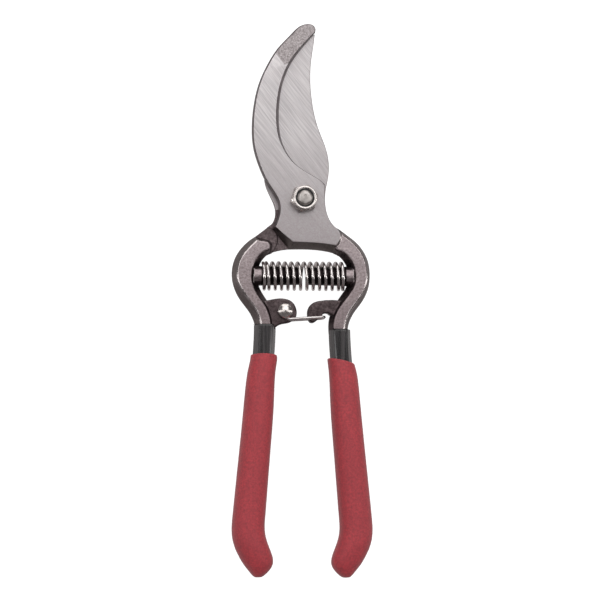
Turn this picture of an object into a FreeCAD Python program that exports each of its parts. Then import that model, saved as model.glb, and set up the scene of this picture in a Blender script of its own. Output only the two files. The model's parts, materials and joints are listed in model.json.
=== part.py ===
"""Bypass pruning shears, closed and latched, lying flat.

Frame: origin on the pivot axis at the flat underside of the pivot bolt's head.
+X is to the right, +Y runs towards the cutting tips, +Z is up.
The hook is the upper layer of the head and owns the right handle.
The blade is the lower layer and owns the left handle.
"""
import FreeCAD
import Part
import math
import os

V = FreeCAD.Vector

# ---- driving dimensions, millimetres ----
MID_Z = 8.0                  # parting plane, where hook and blade slide on each other
RUNNING_GAP = 0.05           # each layer stands this far back from the parting plane
PLATE_HALF = 4.8             # thickness of one layer of the head
BLADE_THICKNESS = 3.4        # blade, thinner than its pivot plate
BOW_HALF = 4.0               # half thickness of the forged bows and tangs
BOW_ROUNDING = 1.0           # radius round the rims of the bows' faces
LUG_HALF = 2.5               # half thickness of the two latch lugs
LUG_ROUNDING = 0.6

BOLT_RADIUS = 3.0            # M6
BOLT_CLEARANCE = 0.05
BOLT_END_Z = 19.3
BOLT_END_CHAMFER = 0.6
HEX_WIDTH = 10.0             # across flats, bolt head and nut
HEAD_FLAT_RADIUS = 4.6       # flat of the bolt head inside its chamfered corners
HEAD_CORNER_RADIUS = 6.2
HEAD_CHAMFER = 0.9
NUT_HEIGHT = 6.0
NUT_HEX_HEIGHT = 4.2
NUT_CONE_RADIUS = 7.0        # the cone that trims the nut's corners, at its seat
NUT_COLLAR_RADIUS = 4.75
NUT_COLLAR_SLOPE = 0.5
NUT_COLLAR_SLOPE_HEIGHT = 1.0
INSERT_OUTER_RADIUS = 3.75
INSERT_HEIGHT = 1.2
INSERT_BELOW_RIM = 0.3

TIP_CUT_X = -7.0             # a point of the edge where the grinding of the hook's tip starts
TIP_CUT_Y = 53.8
TIP_CUT_TURN = 28.0          # direction of that edge, degrees
TIP_CUT_SLOPE = 7.0          # how steeply it runs down towards the tip, degrees

SPRING_Y = -30.4
SPRING_LEFT = -16.6
SPRING_RIGHT = 17.0
SPRING_RADIUS = 5.25         # to the middle of the wire
SPRING_WIRE_RADIUS = 0.65
SPRING_TURNS = 14
PEG_ROOT_RADIUS = 3.9
PEG_END_RADIUS = 3.5
PEG_GAP_LEFT = -0.3
PEG_GAP_RIGHT = 1.3
PEG_END_ROUNDING = 1.0
PEG_LENGTH_IN_BOW = 3.0
LEFT_PEG_WALL = -16.7
RIGHT_PEG_WALL = 17.2

RIVET_X = -7.2
RIVET_Y = -44.5
RIVET_SHANK_RADIUS = 1.52
RIVET_DOME_RADIUS = 3.0
RIVET_DOME_HEIGHT = 1.7
RIVET_FOOT_RADIUS = 2.7
RIVET_FOOT_TAPER = 0.7
RIVET_FOOT_HEIGHT = 1.1
RIVET_PLAY = 0.05            # between a wire eye and the rivet's head

LATCH_WIRE_RADIUS = 0.6
LATCH_EYE_RADIUS = 2.2       # to the middle of the wire
LATCH_HALF = 3.4             # arms stand this far above and below the parting plane
LATCH_END_X = 8.4
LATCH_END_Y = -46.9
LATCH_BEND_X = -5.6
LATCH_BEND_Y = -47.8
LATCH_BEND_RADIUS = 3.0
LATCH_CORNER_RADIUS = 1.2
LATCH_LEAVING_DEG = -117.0   # where each arm leaves its eye

HANDLE_MIRROR_X = -0.2       # the right handle mirrors the left one about this line
TANG_HALF_WIDTH = 3.7
TANG_INSET = 2.0
SLEEVE_WALL = 0.8
SLEEVE_START = 4.0           # the sleeve's shape begins this far above the tang's, then it is cut off
LEFT_SLEEVE_TOP = -49.8
RIGHT_SLEEVE_TOP = -51.6
LEFT_GRIP_TOP = -61.8
RIGHT_GRIP_TOP = -64.2
GRIP_ROUNDNESS = 2.4         # exponent of the grip's oval, 2 is an ellipse
GRIP_SECTION_POINTS = 16

FAR = 300.0                  # reaches past the whole tool, for cutting solids

# ---- outlines: (x, y, inset), where inset is how much narrower the outer face is there ----
# A list is one smooth curve, and two curves meet in a corner.
HOOK_OUTER = [
    (4.4, 66.2, 0.4), (5.1, 68.1, 0.4), (4.1, 69.8, 0.4), (1.9, 70.4, 0.4), (-0.9, 69.7, 0.4),
    (-4.9, 66.1, 0.4), (-9.7, 61.0, 0.3), (-14.2, 54.0, 0.3), (-17.6, 46.4, 0.3), (-19.6, 38.0, 0.3),
    (-20.4, 29.5, 0.3), (-19.8, 20.5, 0.3), (-17.4, 12.6, 0.3), (-14.5, 6.4, 0.3), (-11.4, 1.5, 0.4),
    (-9.8, -2.2, 0.4), (-10.0, -6.0, 0.5), (-12.0, -11.3, 0.7),
]
PLATE_LEFT_FOOT = [(-12.0, -11.3, 0.7), (-8.9, -15.8, 1.9), (-5.3, -20.0, 3.0)]
PLATE_FOOT = [(-5.3, -20.0, 3.0), (0.5, -19.9, 2.6), (7.0, -20.3, 2.6), (13.6, -21.8, 3.4)]
PLATE_RIGHT_FOOT = [(13.6, -21.8, 3.4), (17.0, -18.4, 3.4), (16.4, -14.4, 2.0), (13.0, -10.8, 0.6)]
HOOK_THROAT = [
    (13.0, -10.8, 0.6), (10.3, -7.2, 0.5), (9.1, -2.6, 0.5), (8.9, 1.2, 0.5), (9.0, 5.8, 0.5),
]
HOOK_INNER = [
    (9.0, 5.8, 0.5), (6.8, 8.0, 0.5), (3.2, 10.1, 0.5), (-0.3, 12.3, 0.6), (-3.9, 15.5, 0.8),
    (-7.0, 20.2, 1.0), (-8.7, 25.0, 1.3), (-9.4, 30.0, 1.4), (-9.4, 37.0, 1.4), (-7.9, 46.6, 1.2),
    (-3.6, 56.2, 1.0), (0.0, 61.0, 0.8), (4.4, 66.2, 0.5),
]

BLADE_EDGE = [
    (4.9, 66.6, 0.8), (-1.6, 61.4, 2.6), (-7.6, 55.2, 5.0), (-11.8, 48.0, 6.5), (-14.6, 40.0, 7.0),
    (-15.9, 31.0, 7.0), (-15.8, 22.0, 7.0), (-15.6, 13.0, 6.0),
]
BLADE_HEEL = [(-15.6, 13.0, 6.0), (-14.0, 7.0, 2.0), (-11.0, 3.0, 1.0)]
BLADE_ROOT = [(-11.0, 3.0, 1.0), (0.0, 2.0, 1.0), (9.3, 4.5, 0.6)]
BLADE_SPINE = [
    (9.3, 4.5, 0.6), (10.2, 8.5, 0.6), (10.6, 13.0, 0.6), (9.8, 19.2, 0.6), (8.0, 24.4, 0.6),
    (6.2, 29.0, 0.6), (4.5, 35.4, 0.6), (3.5, 42.0, 0.6), (3.1, 48.5, 0.6), (3.5, 56.0, 0.6),
    (4.4, 62.0, 0.6), (4.9, 66.6, 0.8),
]
BLADE_PLATE_TOP = [
    (10.4, 10.4, 1.0), (4.0, 14.0, 1.6), (-5.0, 15.0, 1.6), (-12.5, 13.0, 1.2), (-15.4, 8.4, 1.0),
]
BLADE_PLATE_LEFT = [
    (-15.4, 8.4, 1.0), (-14.4, 4.0, 0.8), (-12.6, 0.2, 0.7), (-11.2, -3.4, 0.7), (-11.1, -6.8, 0.7),
    (-13.0, -10.4, 0.7),
]
BLADE_PLATE_LAP = [(-13.0, -10.4, 0.7), (-16.4, -14.4, 2.0), (-17.0, -18.4, 3.4), (-13.6, -21.8, 3.4)]
BLADE_PLATE_FOOT = [(-13.6, -21.8, 3.4), (-9.0, -20.4, 2.6), (-3.0, -19.8, 2.6), (5.3, -20.0, 3.0)]
BLADE_PLATE_RIGHT_FOOT = [(5.3, -20.0, 3.0), (8.9, -15.8, 1.9), (12.0, -11.3, 0.7)]
BLADE_PLATE_RIGHT = [
    (12.0, -11.3, 0.7), (10.3, -7.0, 0.6), (9.1, -2.6, 0.6), (9.0, 1.2, 0.6), (10.4, 10.4, 1.0),
]

LEFT_BOW_OUTER = [
    (-18.9, -14.7, 1.6), (-24.1, -18.9, 2.0), (-27.4, -24.2, 2.0), (-28.4, -29.8, 2.0),
    (-27.6, -35.0, 2.2), (-24.8, -40.5, 2.6), (-21.2, -45.3, 2.6), (-19.3, -49.8, 2.3),
]
LEFT_BOW_INNER = [
    (-11.0, -52.0, 1.9), (-11.6, -47.0, 1.9), (-13.0, -42.2, 2.2), (-15.6, -38.0, 2.5),
    (-17.6, -33.8, 2.8), (-18.0, -29.4, 2.8), (-17.0, -25.8, 2.6), (-13.6, -21.8, 1.8),
]
LEFT_PLATE_SIDE = [(-13.6, -21.8, 1.8), (-10.2, -17.4, 1.0), (-10.6, -13.2, 1.0), (-14.2, -11.3, 1.2)]
LEFT_LAP_END = [
    (-13.6, -21.8, 1.8), (-12.3, -19.4, 1.0), (-12.7, -17.0, 1.0), (-15.0, -15.9, 1.0), (-18.9, -14.7, 1.6),
]
RIGHT_BOW_OUTER = [
    (18.9, -14.8, 1.3), (23.1, -18.6, 1.4), (26.1, -24.1, 1.4), (26.9, -29.8, 1.4),
    (26.3, -35.0, 1.5), (23.8, -40.5, 1.8), (20.3, -45.3, 1.7), (18.3, -50.0, 1.7),
]
RIGHT_BOW_INNER = [
    (10.2, -52.5, 1.9), (10.5, -47.0, 1.9), (12.4, -42.2, 2.2), (14.9, -38.4, 2.5),
    (17.6, -34.0, 2.8), (18.2, -29.4, 2.8), (17.0, -25.6, 2.6), (13.6, -21.8, 1.8),
]
RIGHT_PLATE_SIDE = [(13.6, -21.8, 1.8), (10.2, -17.4, 1.0), (10.6, -13.2, 1.0), (14.2, -11.3, 1.2)]
RIGHT_LAP_END = [
    (13.6, -21.8, 1.8), (12.3, -19.4, 1.0), (12.7, -17.0, 1.0), (15.0, -15.8, 1.0), (18.9, -14.8, 1.3),
]

LEFT_LUG = [
    (-16.5, -40.9, 0.6), (-11.0, -40.1, 0.6), (-7.0, -40.1, 0.6), (-4.4, -41.4, 0.6), (-3.0, -44.4, 0.6),
    (-3.2, -46.6, 0.6), (-5.6, -48.6, 0.6), (-9.2, -49.4, 0.6), (-12.2, -51.4, 0.6), (-16.5, -52.0, 0.6),
]
RIGHT_LUG_BACK = [(16.2, -46.5, 0.6), (10.6, -45.6, 0.4)]
RIGHT_LUG_NOTCH = [(10.6, -45.6, 0.4), (9.2, -44.9, 0.4), (7.9, -45.3, 0.4), (7.3, -46.3, 0.5)]
RIGHT_LUG_NOSE = [(7.3, -46.3, 0.5), (6.4, -47.0, 0.5), (5.3, -47.9, 0.5), (4.3, -48.6, 0.5)]
RIGHT_LUG_TOP = [
    (4.3, -48.6, 0.5), (3.0, -48.3, 0.6), (2.4, -46.6, 0.6), (2.4, -44.2, 0.6), (3.7, -41.9, 0.6),
    (6.6, -40.8, 0.6), (12.0, -40.4, 0.6), (16.2, -40.6, 0.6),
]

# Middle of the left tang: (x, y) from the bow to its end inside the grip.
LEFT_TANG_LINE = [
    (-15.1, -51.0), (-15.6, -62.0), (-17.3, -79.0), (-19.1, -100.6), (-21.0, -122.2), (-21.4, -138.0),
]

# Left grip: (y, outer x, inner x, half depth), from rim to nub.
LEFT_GRIP_SECTIONS = [
    (-61.8, -20.8, -10.3, 6.0), (-66.0, -21.4, -10.5, 6.5), (-79.0, -23.2, -11.4, 7.5),
    (-100.6, -25.3, -12.9, 8.0), (-116.0, -26.9, -14.1, 8.0), (-126.0, -27.9, -14.9, 8.0),
    (-132.5, -28.2, -15.0, 8.0), (-137.4, -27.3, -13.7, 8.0), (-141.4, -25.6, -12.2, 7.6),
    (-144.4, -23.9, -11.8, 7.0), (-146.6, -22.3, -12.6, 6.2), (-148.6, -20.7, -14.3, 4.9),
    (-150.2, -19.2, -16.3, 2.6),
]


def inset_points(curves):
    """The outline's points moved inwards by their inset, curve by curve."""
    ring = []
    for curve in curves:
        ring.extend(curve[:-1])
    count = len(ring)
    moved = []
    for i in range(count):
        x, y, inset = ring[i]
        before = ring[i - 1]
        after = ring[(i + 1) % count]
        dx = after[0] - before[0]
        dy = after[1] - before[1]
        length = math.hypot(dx, dy)
        moved.append((x - dy / length * inset, y + dx / length * inset))
    inset_curves = []
    start = 0
    for curve in curves:
        steps = len(curve) - 1
        inset_curves.append([moved[(start + k) % count] for k in range(steps + 1)])
        start += steps
    return inset_curves


def outline_wire(curves, z):
    """A closed wire at height z, one smooth curve per list of points."""
    edges = []
    for curve in curves:
        points = [V(p[0], p[1], z) for p in curve]
        if len(points) == 2:
            edges.append(Part.LineSegment(points[0], points[1]).toShape())
        else:
            spline = Part.BSplineCurve()
            spline.interpolate(points)
            edges.append(spline.toShape())
    return Part.Wire(edges)


def drafted_slab(curves, wide_z, face_z):
    """A slab with sloping side walls. The curves run anticlockwise seen from +Z."""
    wide = outline_wire(curves, wide_z)
    face = outline_wire(inset_points(curves), face_z)
    return Part.makeLoft([wide, face], True, True)


def joined_curves(*lists):
    """Curves that follow on, with a straight edge wherever two of them don't meet."""
    result = []
    for index, curve in enumerate(lists):
        result.append(curve)
        following = lists[(index + 1) % len(lists)]
        if math.dist(curve[-1][:2], following[0][:2]) > 1e-6:
            result.append([curve[-1], following[0]])
    return result


def mirrored_x(points, about):
    return [(2 * about - p[0],) + tuple(p[1:]) for p in points]


def tang_sides(line, half_width, inset):
    """Left and right sides of a tang of constant width round its middle line, both downwards."""
    left = []
    right = []
    for i, (x, y) in enumerate(line):
        before = line[max(i - 1, 0)]
        after = line[min(i + 1, len(line) - 1)]
        dx = after[0] - before[0]
        dy = after[1] - before[1]
        length = math.hypot(dx, dy)
        left.append((x + dy / length * half_width, y - dx / length * half_width, inset))
        right.append((x - dy / length * half_width, y + dx / length * half_width, inset))
    return left, right


def handle_curves(side, lap):
    """Bow and tang of one side as one anticlockwise outline. lap closes its upper end."""
    if side == "left":
        left, right = tang_sides(LEFT_TANG_LINE[1:], TANG_HALF_WIDTH, TANG_INSET)
        return joined_curves(LEFT_BOW_OUTER + left, right[::-1] + LEFT_BOW_INNER, lap)
    line = mirrored_x(LEFT_TANG_LINE, HANDLE_MIRROR_X)
    left, right = tang_sides(line[1:], TANG_HALF_WIDTH, TANG_INSET)
    outer = (RIGHT_BOW_OUTER + right)[::-1]
    inner = (left[::-1] + RIGHT_BOW_INNER)[::-1]
    return joined_curves(inner, outer, lap[::-1])


def rounded_face(slab, face_z, radius):
    """The slab with the rim of its outer face rounded."""
    rim = []
    for edge in slab.Edges:
        if abs(edge.BoundBox.ZMin - face_z) < 0.001 and abs(edge.BoundBox.ZMax - face_z) < 0.001:
            rim.append(edge)
    return slab.makeFillet(radius, rim)


def bow_and_tang(side, front_lap, back_lap):
    front = drafted_slab(handle_curves(side, front_lap), MID_Z, MID_Z + BOW_HALF)
    back = drafted_slab(handle_curves(side, back_lap), MID_Z, MID_Z - BOW_HALF)
    front = rounded_face(front, MID_Z + BOW_HALF, BOW_ROUNDING)
    back = rounded_face(back, MID_Z - BOW_HALF, BOW_ROUNDING)
    return front.fuse(back)


def spring_peg(wall_x, end_x):
    """Forged peg that carries one end of the spring, rounded at its free end and rooted in the bow."""
    direction = V(math.copysign(1.0, end_x - wall_x), 0, 0)
    root = V(wall_x, SPRING_Y, MID_Z)
    peg = Part.makeCone(PEG_ROOT_RADIUS, PEG_END_RADIUS, abs(end_x - wall_x), root, direction)
    rim = []
    for edge in peg.Edges:
        if abs(edge.BoundBox.XMin - end_x) < 0.001 and abs(edge.BoundBox.XMax - end_x) < 0.001:
            rim.append(edge)
    peg = peg.makeFillet(PEG_END_ROUNDING, rim)
    in_bow = Part.makeCylinder(PEG_ROOT_RADIUS, PEG_LENGTH_IN_BOW, root, direction * -1)
    return peg.fuse(in_bow)


def lug(curves):
    front = drafted_slab(curves, MID_Z, MID_Z + LUG_HALF)
    back = drafted_slab(curves, MID_Z, MID_Z - LUG_HALF)
    front = rounded_face(front, MID_Z + LUG_HALF, LUG_ROUNDING)
    back = rounded_face(back, MID_Z - LUG_HALF, LUG_ROUNDING)
    return front.fuse(back)


def pivot_hole(radius):
    return Part.makeCylinder(radius, FAR, V(0, 0, -FAR / 2))


def tip_grinding():
    """Wedge that is ground off the front of the hook's tip."""
    box = Part.makeBox(FAR, FAR, FAR, V(-FAR / 2, 0, 0))
    box.rotate(V(0, 0, 0), V(1, 0, 0), -TIP_CUT_SLOPE)
    box.rotate(V(0, 0, 0), V(0, 0, 1), TIP_CUT_TURN)
    box.translate(V(TIP_CUT_X, TIP_CUT_Y, MID_Z + PLATE_HALF))
    return box


def hook_forging():
    head = drafted_slab(
        [HOOK_OUTER, PLATE_LEFT_FOOT, PLATE_FOOT, PLATE_RIGHT_FOOT, HOOK_THROAT, HOOK_INNER],
        MID_Z + RUNNING_GAP, MID_Z + PLATE_HALF)
    head = head.cut(tip_grinding())
    handle = bow_and_tang("right", RIGHT_PLATE_SIDE, RIGHT_LAP_END)
    latch_lug = lug(joined_curves(RIGHT_LUG_BACK, RIGHT_LUG_NOTCH, RIGHT_LUG_NOSE, RIGHT_LUG_TOP))
    peg = spring_peg(RIGHT_PEG_WALL, PEG_GAP_RIGHT)
    forging = head.fuse([handle, latch_lug, peg])
    return forging.cut(pivot_hole(BOLT_RADIUS + BOLT_CLEARANCE)).removeSplitter()


def blade_forging():
    blade = drafted_slab([BLADE_EDGE, BLADE_HEEL, BLADE_ROOT, BLADE_SPINE],
                         MID_Z - RUNNING_GAP, MID_Z - BLADE_THICKNESS)
    plate = drafted_slab(
        [BLADE_PLATE_TOP, BLADE_PLATE_LEFT, BLADE_PLATE_LAP, BLADE_PLATE_FOOT,
         BLADE_PLATE_RIGHT_FOOT, BLADE_PLATE_RIGHT],
        MID_Z - RUNNING_GAP, MID_Z - PLATE_HALF)
    handle = bow_and_tang("left", LEFT_LAP_END, LEFT_PLATE_SIDE)
    latch_lug = lug(joined_curves(LEFT_LUG))
    peg = spring_peg(LEFT_PEG_WALL, PEG_GAP_LEFT)
    forging = blade.fuse([plate, handle, latch_lug, peg])
    forging = forging.cut(pivot_hole(BOLT_RADIUS))
    rivet_hole = Part.makeCylinder(RIVET_SHANK_RADIUS, FAR, V(RIVET_X, RIVET_Y, -FAR / 2))
    return forging.cut(rivet_hole).removeSplitter()


def hexagon_prism(z_low, height):
    radius = HEX_WIDTH / math.sqrt(3)
    corners = [V(radius * math.cos(math.radians(60 * k)), radius * math.sin(math.radians(60 * k)), z_low)
               for k in range(6)]
    return Part.Face(Part.makePolygon(corners + corners[:1])).extrude(V(0, 0, height))


def pivot_bolt():
    back_z = MID_Z - PLATE_HALF
    chamfer = Part.makeCone(HEAD_FLAT_RADIUS, HEAD_CORNER_RADIUS, HEAD_CHAMFER)
    above = Part.makeCylinder(HEAD_CORNER_RADIUS, back_z - HEAD_CHAMFER, V(0, 0, HEAD_CHAMFER))
    head = hexagon_prism(0, back_z).common(chamfer.fuse(above))
    point_z = BOLT_END_Z - BOLT_END_CHAMFER
    shank = Part.makeCylinder(BOLT_RADIUS, point_z - back_z, V(0, 0, back_z))
    point = Part.makeCone(BOLT_RADIUS, BOLT_RADIUS - BOLT_END_CHAMFER, BOLT_END_CHAMFER, V(0, 0, point_z))
    return head.fuse([shank, point]).removeSplitter()


def insert_seat_z():
    return MID_Z + PLATE_HALF + NUT_HEIGHT - INSERT_BELOW_RIM - INSERT_HEIGHT


def pivot_nut():
    seat_z = MID_Z + PLATE_HALF
    hexagon = hexagon_prism(seat_z, NUT_HEX_HEIGHT)
    chamfer = Part.makeCone(NUT_CONE_RADIUS, NUT_COLLAR_RADIUS, NUT_HEX_HEIGHT, V(0, 0, seat_z))
    hexagon = hexagon.common(chamfer)
    slope_z = seat_z + NUT_HEIGHT - NUT_COLLAR_SLOPE_HEIGHT
    collar = Part.makeCylinder(NUT_COLLAR_RADIUS, slope_z - seat_z, V(0, 0, seat_z))
    collar_top = Part.makeCone(NUT_COLLAR_RADIUS, NUT_COLLAR_RADIUS - NUT_COLLAR_SLOPE,
                               NUT_COLLAR_SLOPE_HEIGHT, V(0, 0, slope_z))
    body = hexagon.fuse([collar, collar_top])
    pocket = Part.makeCylinder(INSERT_OUTER_RADIUS, FAR, V(0, 0, insert_seat_z()))
    return body.cut(pocket).cut(pivot_hole(BOLT_RADIUS)).removeSplitter()


def nut_insert():
    ring = Part.makeCylinder(INSERT_OUTER_RADIUS, INSERT_HEIGHT, V(0, 0, insert_seat_z()))
    return ring.cut(pivot_hole(BOLT_RADIUS))


def return_spring():
    length = SPRING_RIGHT - SPRING_LEFT - 2 * SPRING_WIRE_RADIUS
    helix = Part.makeHelix(length / SPRING_TURNS, length, SPRING_RADIUS)
    profile = Part.Wire(Part.makeCircle(SPRING_WIRE_RADIUS, V(SPRING_RADIUS, 0, 0), V(0, 1, 0)))
    coil = Part.Wire(helix.Edges).makePipeShell([profile], True, True)
    coil.rotate(V(0, 0, 0), V(0, 1, 0), 90)
    coil.translate(V(SPRING_LEFT + SPRING_WIRE_RADIUS, SPRING_Y, MID_Z))
    return coil


def rounded_path(points, radii):
    """Straight runs through the points, joined by tangent arcs of the given radii."""
    edges = []
    start = points[0]
    for i in range(1, len(points) - 1):
        corner = points[i]
        to_before = (points[i - 1] - corner).normalize()
        to_after = (points[i + 1] - corner).normalize()
        half_angle = to_before.getAngle(to_after) / 2
        reach = radii[i - 1] / math.tan(half_angle)
        arc_start = corner + to_before * reach
        arc_end = corner + to_after * reach
        middle_way = (to_before + to_after).normalize()
        arc_middle = corner + middle_way * (radii[i - 1] / math.sin(half_angle) - radii[i - 1])
        edges.append(Part.LineSegment(start, arc_start).toShape())
        edges.append(Part.Arc(arc_start, arc_middle, arc_end).toShape())
        start = arc_end
    edges.append(Part.LineSegment(start, points[-1]).toShape())
    return Part.Wire(edges)


def latch_wire():
    """Wire bail: an eye above and below the lug, two arms and the closed end between them."""
    angle = math.radians(LATCH_LEAVING_DEG)
    leave_x = RIVET_X + LATCH_EYE_RADIUS * math.cos(angle)
    leave_y = RIVET_Y + LATCH_EYE_RADIUS * math.sin(angle)
    top = MID_Z + LATCH_HALF
    low = MID_Z - LATCH_HALF
    points = [
        V(leave_x, leave_y, top), V(LATCH_BEND_X, LATCH_BEND_Y, top), V(LATCH_END_X, LATCH_END_Y, top),
        V(LATCH_END_X, LATCH_END_Y, low), V(LATCH_BEND_X, LATCH_BEND_Y, low), V(leave_x, leave_y, low),
    ]
    radii = [LATCH_BEND_RADIUS, LATCH_CORNER_RADIUS, LATCH_CORNER_RADIUS, LATCH_BEND_RADIUS]
    path = rounded_path(points, radii)
    direction = points[1] - points[0]
    profile = Part.Wire(Part.makeCircle(LATCH_WIRE_RADIUS, points[0], direction))
    bail = path.makePipeShell([profile], True, False)
    eyes = [Part.makeTorus(LATCH_EYE_RADIUS, LATCH_WIRE_RADIUS, V(RIVET_X, RIVET_Y, z)) for z in (top, low)]
    return bail.fuse(eyes)


def latch_rivet():
    top = MID_Z + LATCH_HALF + LATCH_WIRE_RADIUS + RIVET_PLAY
    low = MID_Z - LATCH_HALF - LATCH_WIRE_RADIUS - RIVET_PLAY
    shank = Part.makeCylinder(RIVET_SHANK_RADIUS, top - low, V(0, 0, low))
    rim = V(RIVET_DOME_RADIUS, 0, top)
    crown = V(0, 0, top + RIVET_DOME_HEIGHT)
    sphere_radius = (RIVET_DOME_RADIUS ** 2 + RIVET_DOME_HEIGHT ** 2) / (2 * RIVET_DOME_HEIGHT)
    centre_z = top + RIVET_DOME_HEIGHT - sphere_radius
    half_way = math.asin(RIVET_DOME_RADIUS / sphere_radius) / 2
    shoulder = V(sphere_radius * math.sin(half_way), 0, centre_z + sphere_radius * math.cos(half_way))
    section = Part.Wire([
        Part.LineSegment(V(0, 0, top), rim).toShape(), Part.Arc(rim, shoulder, crown).toShape(),
        Part.LineSegment(crown, V(0, 0, top)).toShape(),
    ])
    dome = Part.Face(section).revolve(V(0, 0, 0), V(0, 0, 1), 360)
    foot = Part.makeCone(RIVET_FOOT_RADIUS - RIVET_FOOT_TAPER, RIVET_FOOT_RADIUS, RIVET_FOOT_HEIGHT,
                         V(0, 0, low - RIVET_FOOT_HEIGHT))
    rivet = shank.fuse([dome, foot])
    rivet.translate(V(RIVET_X, RIVET_Y, 0))
    return rivet


def below_line(top_y):
    """Everything on the handles' side of the line y = top_y."""
    return Part.makeBox(FAR, FAR, FAR, V(-FAR / 2, top_y - FAR, -FAR / 2))


def sleeve_line(side):
    return LEFT_TANG_LINE if side == "left" else mirrored_x(LEFT_TANG_LINE, HANDLE_MIRROR_X)


def sleeve_block(side, top_y):
    """Outside of a sleeve: the tang's shape, thicker by the sleeve's wall all round."""
    line = sleeve_line(side)
    first = (line[0][0], line[0][1] + SLEEVE_START)
    last = (line[-1][0], line[-1][1] - SLEEVE_WALL)
    left, right = tang_sides([first] + line[1:-1] + [last], TANG_HALF_WIDTH + SLEEVE_WALL, TANG_INSET)
    curves = [left, [left[-1], right[-1]], right[::-1], [right[0], left[0]]]
    block = drafted_slab(curves, MID_Z, MID_Z + BOW_HALF + SLEEVE_WALL)
    block = block.fuse(drafted_slab(curves, MID_Z, MID_Z - BOW_HALF - SLEEVE_WALL))
    return block.common(below_line(top_y))


def grip_section(y, outer_x, inner_x, half_depth):
    """Oval across the grip at one height."""
    middle = (outer_x + inner_x) / 2
    half_width = abs(inner_x - outer_x) / 2
    points = []
    for k in range(GRIP_SECTION_POINTS):
        angle = 2 * math.pi * k / GRIP_SECTION_POINTS
        cosine = math.cos(angle)
        sine = math.sin(angle)
        x = middle + half_width * math.copysign(abs(cosine) ** (2 / GRIP_ROUNDNESS), cosine)
        z = MID_Z + half_depth * math.copysign(abs(sine) ** (2 / GRIP_ROUNDNESS), sine)
        points.append(V(x, y, z))
    curve = Part.BSplineCurve()
    curve.interpolate(points, PeriodicFlag=True)
    return Part.Wire([curve.toShape()])


def grip_block(side, top_y):
    wires = []
    for y, outer_x, inner_x, half_depth in LEFT_GRIP_SECTIONS:
        if side == "right":
            outer_x = 2 * HANDLE_MIRROR_X - outer_x
            inner_x = 2 * HANDLE_MIRROR_X - inner_x
        wires.append(grip_section(y, outer_x, inner_x, half_depth))
    block = Part.makeLoft(wires, True, False)
    return block.common(below_line(top_y))


def write(name, shape):
    solids = shape.Solids
    print(name, "solids", len(solids), "valid", shape.isValid(), "volume", round(shape.Volume, 1))
    shape.exportStep("parts/" + name + ".step")


def main():
    os.makedirs("parts", exist_ok=True)
    hook = hook_forging()
    blade = blade_forging()
    nodes = {
        "hook_forging": hook,
        "blade_forging": blade,
        "pivot_bolt": pivot_bolt(),
        "pivot_nut": pivot_nut(),
        "nut_insert": nut_insert(),
        "return_spring": return_spring(),
        "latch_wire": latch_wire(),
        "latch_rivet": latch_rivet(),
    }
    handles = (
        ("left", blade, LEFT_SLEEVE_TOP, LEFT_GRIP_TOP),
        ("right", hook, RIGHT_SLEEVE_TOP, RIGHT_GRIP_TOP),
    )
    for side, forging, sleeve_top, grip_top in handles:
        sleeve = sleeve_block(side, sleeve_top)
        nodes[side + "_grip"] = grip_block(side, grip_top).cut(sleeve)
        nodes[side + "_undersleeve"] = sleeve.cut(forging)
    for name, shape in nodes.items():
        write(name, shape)


main()
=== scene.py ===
# %% [markdown]
# # Bypass pruning shears
#
# The CAD model of the shears is loaded as a fixed frame: it says where every part lies and how it moves.
# Each cell below gives one part or one finish its real look. The tool lies flat and closed, with +Y towards
# the cutting tips, and it is seen almost from straight above.

# %% Load the frame
import json
import math
import bpy
from mathutils import Matrix, Vector
from mathutils.kdtree import KDTree

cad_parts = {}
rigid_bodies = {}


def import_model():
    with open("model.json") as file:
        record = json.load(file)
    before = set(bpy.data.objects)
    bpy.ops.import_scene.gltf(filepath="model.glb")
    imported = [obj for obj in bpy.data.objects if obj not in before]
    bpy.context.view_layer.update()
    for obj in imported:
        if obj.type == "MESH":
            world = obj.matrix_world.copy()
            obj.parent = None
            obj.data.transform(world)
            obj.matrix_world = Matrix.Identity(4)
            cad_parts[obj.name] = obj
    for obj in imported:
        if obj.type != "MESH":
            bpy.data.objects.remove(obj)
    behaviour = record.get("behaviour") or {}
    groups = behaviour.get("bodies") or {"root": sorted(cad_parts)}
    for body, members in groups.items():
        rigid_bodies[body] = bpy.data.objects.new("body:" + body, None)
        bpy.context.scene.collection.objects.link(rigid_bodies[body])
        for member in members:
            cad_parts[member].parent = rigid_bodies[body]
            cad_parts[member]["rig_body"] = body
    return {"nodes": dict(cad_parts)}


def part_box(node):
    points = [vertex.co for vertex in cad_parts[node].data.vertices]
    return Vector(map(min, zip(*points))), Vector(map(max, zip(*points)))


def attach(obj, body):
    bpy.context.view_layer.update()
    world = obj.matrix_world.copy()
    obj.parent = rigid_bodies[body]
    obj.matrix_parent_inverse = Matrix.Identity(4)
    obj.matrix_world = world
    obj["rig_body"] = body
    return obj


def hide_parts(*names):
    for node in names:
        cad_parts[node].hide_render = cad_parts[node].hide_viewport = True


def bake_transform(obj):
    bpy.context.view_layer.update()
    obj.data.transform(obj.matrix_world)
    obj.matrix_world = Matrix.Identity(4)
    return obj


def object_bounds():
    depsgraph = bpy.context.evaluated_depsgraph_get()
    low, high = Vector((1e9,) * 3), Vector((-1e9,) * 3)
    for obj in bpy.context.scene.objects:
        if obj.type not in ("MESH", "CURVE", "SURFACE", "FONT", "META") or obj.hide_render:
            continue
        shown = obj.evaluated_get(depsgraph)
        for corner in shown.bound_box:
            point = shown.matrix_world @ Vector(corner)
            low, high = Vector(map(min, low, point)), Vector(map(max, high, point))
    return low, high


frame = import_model()
nodes = frame["nodes"]
cad_low, cad_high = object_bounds()
MM = 0.001
print("CAD box in mm:", [round(v / MM, 1) for v in cad_high - cad_low])

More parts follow.
